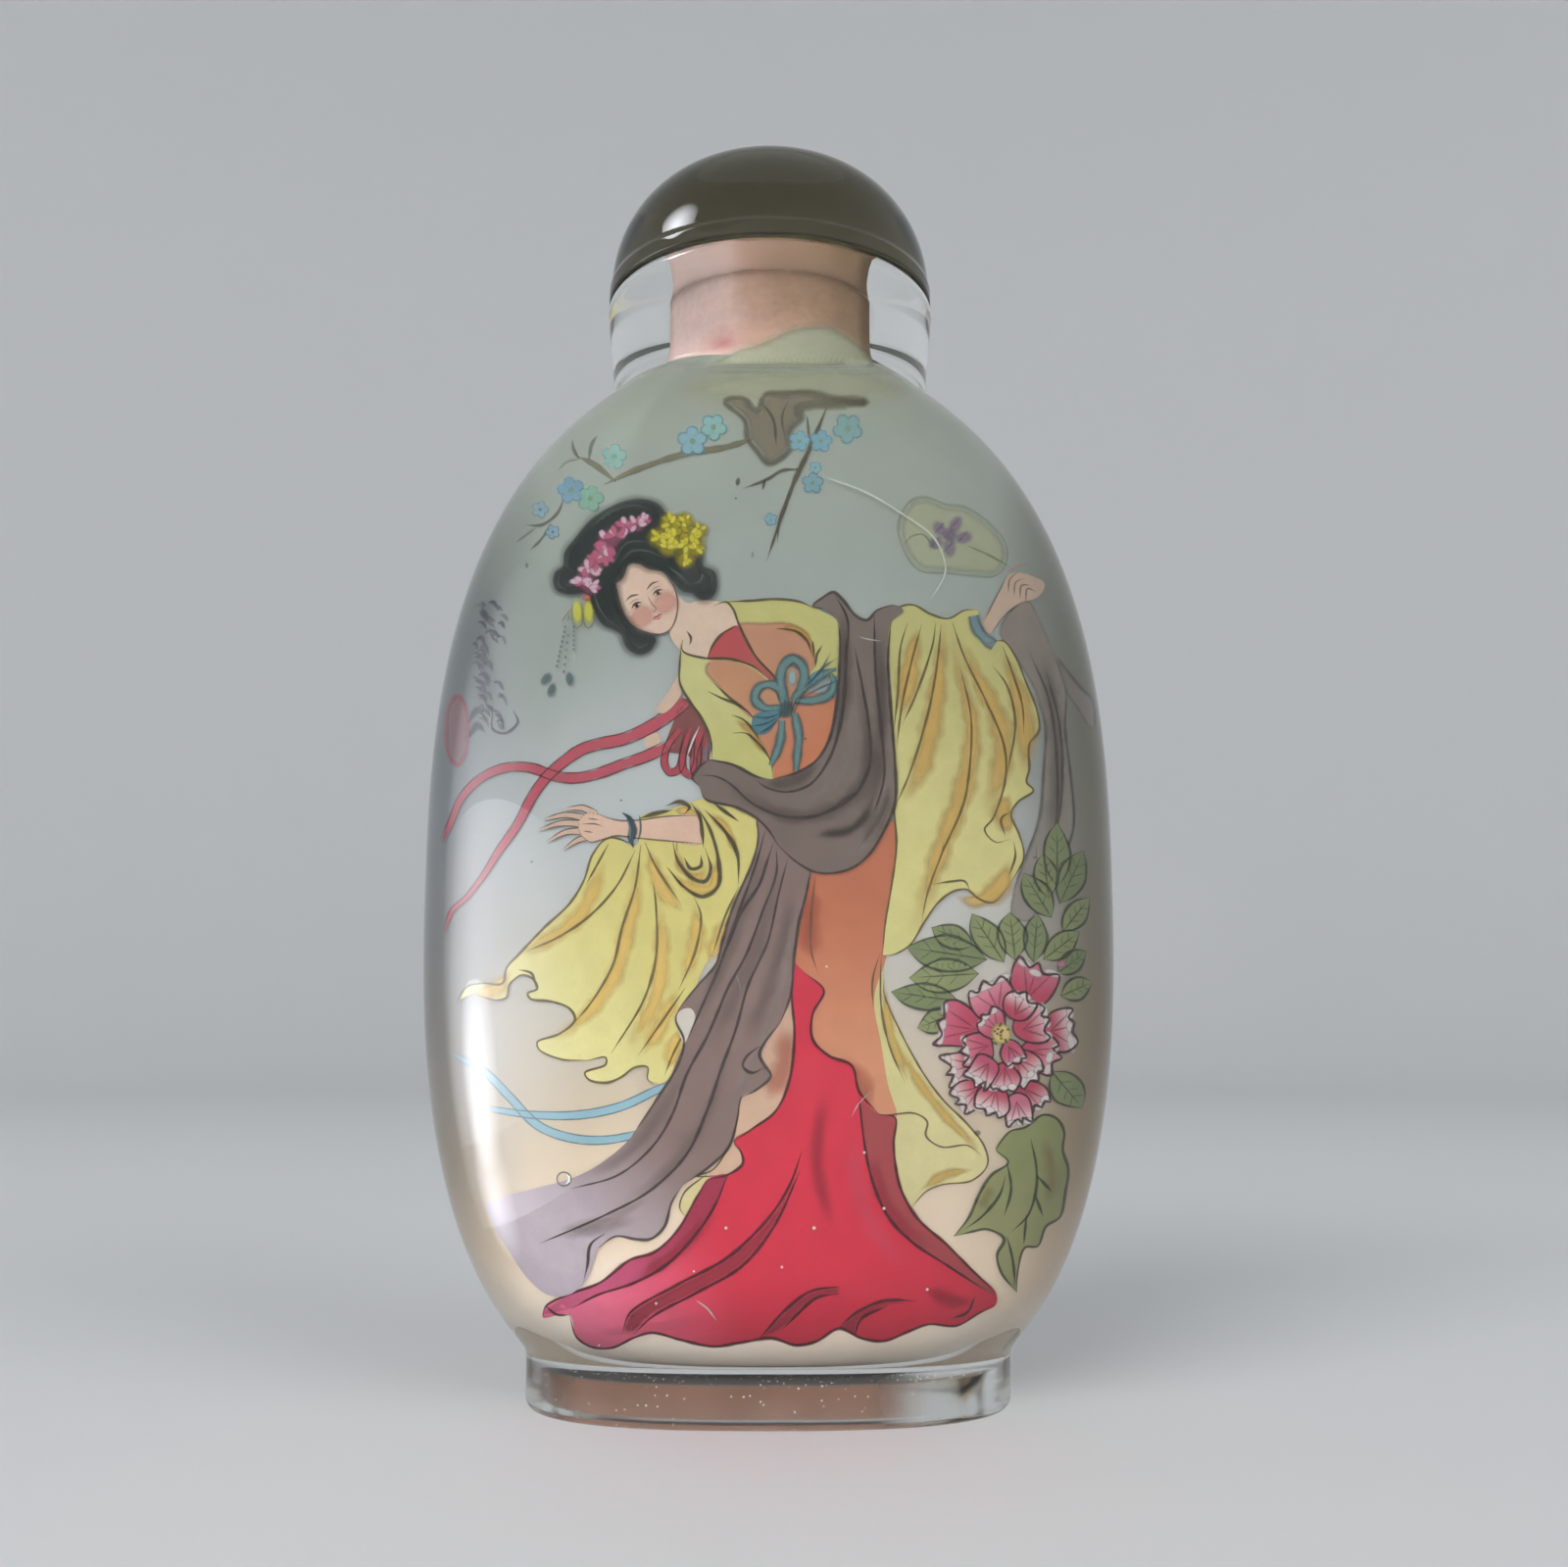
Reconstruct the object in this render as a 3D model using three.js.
// A flattened glass snuff bottle with its stopper, in millimetres.
// +Z is up, the broad face looks along -Y, and the origin is the centre of the foot's underside.
// The bottle is one hollow piece of glass. The stopper is a domed cap glued on a cork, and the cork
// sits in the mouth.
import * as THREE from "three";

// Driving sizes. Widths run along X and depths along Y, both measured from the bottle's axis.
const FOOT = { halfWidth: 16.15, halfDepth: 8.9, height: 3.8, edge: 0.7, ringWidth: 3.2, recess: 2.4 };
const BELLY = { halfWidth: 23.9, halfDepth: 15.4, level: 35.2 };
const NECK = { radius: 11.4, level: 69.7 };
const LIP = { radius: 12.05, round: 1.3, level: 77.6 };
const BORE = { radius: 4.7, chamfer: 0.4, level: 69.4 };
const CAVITY = { sideWall: 3.9, faceWall: 2.8, floor: 4.9 };
const CORK = { radius: 4.4, tipRadius: 4.1, tipEdge: 0.4, length: 7.9 };
const CAP = { radius: 12, rim: 1.2, fillet: 0.25, setBack: 0.15, dome: 9.65, fullness: 0.78 };

// How the walls close in above and below the belly's widest level. The reach is the distance at which
// a curve would come to nothing, and a higher power or root keeps it full for longer.
const SHOULDER = { widthReach: 36.8, depthReach: 44, power: 2.55, root: 2.54 };
const LOWER_BELLY = { widthReach: 36.1, depthReach: 34.05, power: 2.55, root: 3.05 };
const INNER_SHOULDER = { power: 3, root: 2 };
const INNER_FLOOR = { power: 20, root: 2 };

// How square each level is in plan: 2 is an ellipse, more is squarer.
const PLAN = { round: 2, belly: 2.3, foot: 2.6 };

// Facets round the axis, and levels along each stretch of the profile.
const SEGMENTS = { bottle: 48, cap: 48, cork: 32 };
const STEPS = { lowerBelly: 12, shoulder: 14, neck: 3, edge: 3, lip: 4, innerShoulder: 12, innerBelly: 12, dome: 11, fillet: 2 };

const HALF_TURN = Math.PI;
const QUARTER_TURN = Math.PI / 2;

// Share of the belly's full size that is left at a distance from its widest level.
function swell(distance, reach, { power, root }) {
  return Math.max(0, 1 - (distance / reach) ** power) ** (1 / root);
}

// Values from a to b, closer together at both ends.
function eased(a, b, steps) {
  return Array.from({ length: steps + 1 }, (_, i) => a + ((b - a) * (1 - Math.cos((HALF_TURN * i) / steps))) / 2);
}

function between(a, b, share) {
  return a + (b - a) * share;
}

// One level of a turned shape: half width, half depth, height and plan squareness.
function level(halfWidth, halfDepth, z, square = PLAN.round) {
  return { halfWidth, halfDepth, z, square };
}

function round(radius, z) {
  return level(radius, radius, z);
}

function bellyLevel(z) {
  const distance = Math.abs(z - BELLY.level);
  const above = z > BELLY.level;
  const curve = above ? SHOULDER : LOWER_BELLY;
  const end = above ? NECK.level : FOOT.height;
  const endSquare = above ? PLAN.round : PLAN.foot;
  const share = (distance / Math.abs(end - BELLY.level)) ** 2;
  return level(
    BELLY.halfWidth * swell(distance, curve.widthReach, curve),
    BELLY.halfDepth * swell(distance, curve.depthReach, curve),
    z,
    between(PLAN.belly, endSquare, share),
  );
}

function cavityLevel(z) {
  const outside = bellyLevel(Math.min(z, BELLY.level));
  const halfWidth = outside.halfWidth - CAVITY.sideWall;
  const halfDepth = outside.halfDepth - CAVITY.faceWall;
  if (z <= BELLY.level) {
    // The wall keeps its thickness down to the floor, and turns into it with a round corner.
    const open = swell(BELLY.level - z, BELLY.level - CAVITY.floor, INNER_FLOOR);
    return level(halfWidth * open, halfDepth * open, z, PLAN.belly);
  }
  const open = swell(z - BELLY.level, BORE.level - BELLY.level, INNER_SHOULDER);
  return level(
    between(BORE.radius, halfWidth, open),
    between(BORE.radius, halfDepth, open),
    z,
    between(PLAN.round, PLAN.belly, open),
  );
}

// A rounded edge on a level of the given outer size, its angle running from `from` to `to`.
function roundedEdge({ halfWidth, halfDepth, square }, radius, centreZ, from, to, steps) {
  return Array.from({ length: steps + 1 }, (_, i) => {
    const angle = between(from, to, i / steps);
    const inset = radius * (1 - Math.cos(angle));
    return level(halfWidth - inset, halfDepth - inset, centreZ + radius * Math.sin(angle), square);
  });
}

// Turns the levels about the axis, then gives each ring its own width, depth and squareness.
function turned(levels, segments) {
  const geometry = new THREE.LatheGeometry(levels.map((l) => new THREE.Vector2(l.halfWidth, l.z)), segments);
  const place = geometry.getAttribute("position");
  const bent = (value, square) => Math.sign(value) * Math.abs(value) ** (2 / square);
  for (let i = 0; i < place.count; i++) {
    const ring = levels[i % levels.length];
    const angle = (2 * HALF_TURN * (Math.floor(i / levels.length) % segments)) / segments;
    const x = ring.halfWidth * bent(Math.sin(angle), ring.square);
    const y = ring.halfDepth * bent(Math.cos(angle), ring.square);
    place.setXYZ(i, x, ring.z, y);
  }
  geometry.rotateX(QUARTER_TURN);
  geometry.computeVertexNormals();
  return geometry;
}

function bottleLevels() {
  const foot = level(FOOT.halfWidth, FOOT.halfDepth, 0, PLAN.foot);
  const recess = { halfWidth: FOOT.halfWidth - FOOT.ringWidth, halfDepth: FOOT.halfDepth - FOOT.ringWidth };
  const lipCentre = LIP.level - LIP.round;
  return [
    // The recess under the foot, out to the ring that the bottle stands on.
    round(0, FOOT.recess),
    level(recess.halfWidth, recess.halfDepth, FOOT.recess, PLAN.foot),
    level(recess.halfWidth, recess.halfDepth, 0, PLAN.foot),
    ...roundedEdge(foot, FOOT.edge, FOOT.edge, -QUARTER_TURN, 0, STEPS.edge),
    // The foot's wall meets the belly at a plain corner, and the belly swells and closes in to the neck.
    ...eased(FOOT.height, BELLY.level, STEPS.lowerBelly).map(bellyLevel),
    ...eased(BELLY.level, NECK.level, STEPS.shoulder).slice(1).map(bellyLevel),
    // The neck opens a little on its way up to the rounded lip.
    ...Array.from({ length: STEPS.neck }, (_, i) => {
      const share = (i + 1) / STEPS.neck;
      return round(between(NECK.radius, LIP.radius, share), between(NECK.level, lipCentre, share));
    }),
    ...roundedEdge(round(LIP.radius, 0), LIP.round, lipCentre, 0, QUARTER_TURN, STEPS.lip).slice(1),
    round(BORE.radius + BORE.chamfer, LIP.level),
    round(BORE.radius, LIP.level - BORE.chamfer),
    // Down the bore and the inside of the wall to the middle of the floor.
    ...eased(BORE.level, BELLY.level, STEPS.innerShoulder).map(cavityLevel),
    ...eased(BELLY.level, CAVITY.floor, STEPS.innerBelly).slice(1).map(cavityLevel),
  ];
}

function capLevels() {
  const base = LIP.level;
  const domeLevels = Array.from({ length: STEPS.dome + 1 }, (_, i) => {
    const angle = (QUARTER_TURN * i) / STEPS.dome;
    const radius = i === STEPS.dome ? 0 : (CAP.radius - CAP.setBack) * Math.cos(angle) ** CAP.fullness;
    return round(radius, base + CAP.rim + CAP.dome * Math.sin(angle));
  });
  return [
    round(0, base),
    ...roundedEdge(round(CAP.radius, 0), CAP.fillet, base + CAP.fillet, -QUARTER_TURN, 0, STEPS.fillet),
    round(CAP.radius, base + CAP.rim),
    ...domeLevels,
  ];
}

function corkLevels() {
  const tip = LIP.level - CORK.length;
  return [
    round(0, tip),
    round(CORK.tipRadius - CORK.tipEdge, tip),
    round(CORK.tipRadius, tip + CORK.tipEdge),
    round(CORK.radius, LIP.level),
    round(0, LIP.level),
  ];
}

function piece(name, levels, segments, look) {
  const mesh = new THREE.Mesh(turned(levels, segments), new THREE.MeshStandardMaterial(look));
  mesh.name = name;
  return mesh;
}

const snuffBottle = new THREE.Group();
snuffBottle.add(
  piece("bottle", bottleLevels(), SEGMENTS.bottle, { color: 0xcfd4cf, roughness: 0.08, metalness: 0 }),
  piece("stopper_cap", capLevels(), SEGMENTS.cap, { color: 0x433d2e, roughness: 0.12, metalness: 0 }),
  piece("stopper_cork", corkLevels(), SEGMENTS.cork, { color: 0xbd9680, roughness: 0.8, metalness: 0 }),
);

export default snuffBottle;
